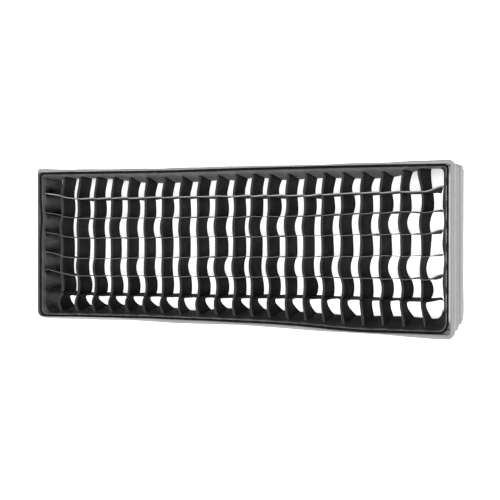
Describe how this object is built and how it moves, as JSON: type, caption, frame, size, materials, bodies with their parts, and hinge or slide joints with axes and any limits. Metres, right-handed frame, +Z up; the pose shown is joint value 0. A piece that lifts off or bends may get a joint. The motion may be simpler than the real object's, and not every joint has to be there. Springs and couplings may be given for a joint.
{
  "type": "strip softbox",
  "caption": "Long narrow grey fabric softbox with a black egg-crate grid, a front diffuser and an inner baffle, bowed out by rods from a rotating bayonet ring.",
  "frame": {"origin": "centre of the bayonet insert's rear face, where the lamp head holds the softbox", "axes": "+Y towards the lamp, with the open front facing -Y; +X to the right seen from the front, along the long side; +Z up"},
  "size_m": [1.2, 0.427, 0.4],
  "materials": {
    "shell_fabric": "woven, silver-grey",
    "black_fabric": "woven, matte",
    "white_cloth": "woven, translucent white",
    "cast_alloy": "cast and turned, satin",
    "plated_steel": "zinc plated, turned",
    "spring_rod": "black glass-fibre rod",
    "knob_plastic": "moulded"
  },
  "bodies": {
    "bayonet": {"bayonet_insert": "plated_steel", "retaining_ring": "plated_steel"},
    "shell": {"speedring": "cast_alloy", "rod_top_right": "spring_rod", "rod_top_left": "spring_rod", "rod_bottom_left": "spring_rod", "rod_bottom_right": "spring_rod", "tip_pocket_top_right": "black_fabric", "tip_pocket_top_left": "black_fabric", "tip_pocket_bottom_left": "black_fabric", "tip_pocket_bottom_right": "black_fabric", "lip_right": "shell_fabric", "lip_top": "shell_fabric", "lip_left": "shell_fabric", "lip_bottom": "shell_fabric", "panel_right": "shell_fabric", "panel_top": "shell_fabric", "panel_left": "shell_fabric", "panel_bottom": "shell_fabric", "rear_collar": "shell_fabric", "loop_tape": "black_fabric"},
    "knob": {"locking_knob": "knob_plastic"},
    "baffle": {"inner_baffle": "white_cloth"},
    "diffuser": {"front_diffuser": "white_cloth", "diffuser_hook_band": "white_cloth"},
    "grid": {"grid_rim_right": "black_fabric", "grid_rim_top": "black_fabric", "grid_rim_left": "black_fabric", "grid_rim_bottom": "black_fabric", "grid_skirt_right": "black_fabric", "grid_skirt_top": "black_fabric", "grid_skirt_left": "black_fabric", "grid_skirt_bottom": "black_fabric", "grid_column_01": "black_fabric", "grid_column_02": "black_fabric", "grid_column_03": "black_fabric", "grid_column_04": "black_fabric", "grid_column_05": "black_fabric", "grid_column_06": "black_fabric", "grid_column_07": "black_fabric", "grid_column_08": "black_fabric", "grid_column_09": "black_fabric", "grid_column_10": "black_fabric", "grid_column_11": "black_fabric", "grid_column_12": "black_fabric", "grid_column_13": "black_fabric", "grid_column_14": "black_fabric", "grid_column_15": "black_fabric", "grid_column_16": "black_fabric", "grid_column_17": "black_fabric", "grid_column_18": "black_fabric", "grid_column_19": "black_fabric", "grid_column_20": "black_fabric", "grid_column_21": "black_fabric", "grid_row_1": "black_fabric", "grid_row_2": "black_fabric", "grid_row_3": "black_fabric", "grid_row_4": "black_fabric", "grid_row_5": "black_fabric", "grid_row_6": "black_fabric"}
  },
  "joints": [
    {"name": "shell_rotation", "type": "hinge", "parent": "bayonet", "child": "shell", "pos_m": [0, -0.023, 0], "axis": [0, 1, 0], "continuous": true},
    {"name": "knob_turn", "type": "hinge", "parent": "shell", "child": "knob", "pos_m": [0, -0.017, -0.09], "axis": [0, 0, -1], "range_deg": [0, 540]},
    {"name": "baffle_removal", "type": "slide", "parent": "shell", "child": "baffle", "axis": [0, -1, 0], "range_m": [0, 0.26]},
    {"name": "diffuser_removal", "type": "slide", "parent": "baffle", "child": "diffuser", "axis": [0, -1, 0], "range_m": [0, 0.13]},
    {"name": "grid_removal", "type": "slide", "parent": "diffuser", "child": "grid", "axis": [0, -1, 0], "range_m": [0, 0.12]}
  ]
}
